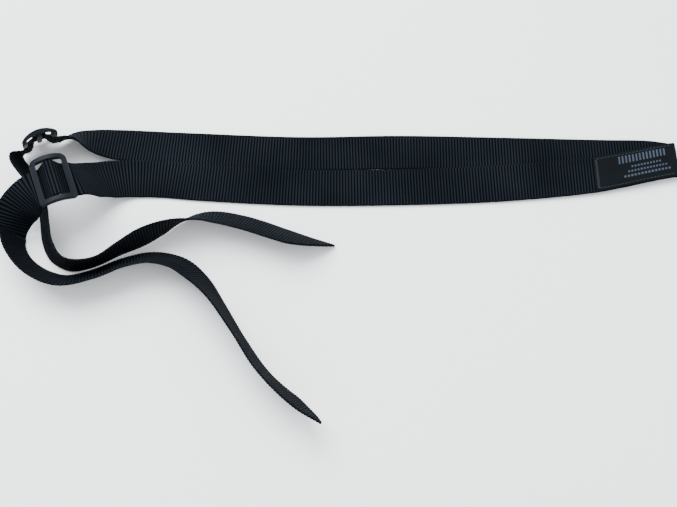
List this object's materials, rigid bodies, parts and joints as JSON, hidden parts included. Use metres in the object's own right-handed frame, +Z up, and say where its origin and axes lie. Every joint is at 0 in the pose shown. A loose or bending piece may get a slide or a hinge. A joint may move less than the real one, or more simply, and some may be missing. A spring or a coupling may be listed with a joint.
{
  "type": "webbing strap tourniquet",
  "caption": "Folded webbing strap tourniquet whose two legs each thread a rocking three-bar slider and end in a free, slant-cut tail.",
  "frame": {"origin": "on the floor under the middle of the strap's outline as it lies", "axes": "+X along the two legs towards the folded and labelled end, +Y away from the free tails, +Z up"},
  "size_m": [0.4237, 0.2086, 0.0356],
  "materials": {
    "webbing": "ribbed nylon weave with a slight sheen",
    "slider_plastic": "moulded, satin",
    "label_fabric": "fine woven",
    "label_thread": "twisted thread"
  },
  "bodies": {
    "strap": {"webbing_lower_leg": "webbing", "webbing_lower_crimp": "webbing", "webbing_lower_tail": "webbing", "webbing_upper_leg": "webbing", "webbing_upper_crimp": "webbing", "webbing_upper_tail": "webbing", "webbing_fold": "webbing", "label": "label_fabric", "label_stitching": "label_thread"},
    "lower_slider": {"slider_lower": "slider_plastic"},
    "upper_slider": {"slider_upper": "slider_plastic"}
  },
  "joints": [
    {"name": "lower_slider_rock", "type": "hinge", "parent": "strap", "child": "lower_slider", "pos_m": [-0.17695, 0.04632, 0.0321], "axis": [-0.3584, 0.9336, 0], "range_deg": [-6, 6]},
    {"name": "upper_slider_rock", "type": "hinge", "parent": "strap", "child": "upper_slider", "pos_m": [-0.1942, 0.08707, 0.01635], "axis": [0.2464, -0.4361, 0.8655], "range_deg": [-6, 6]}
  ]
}
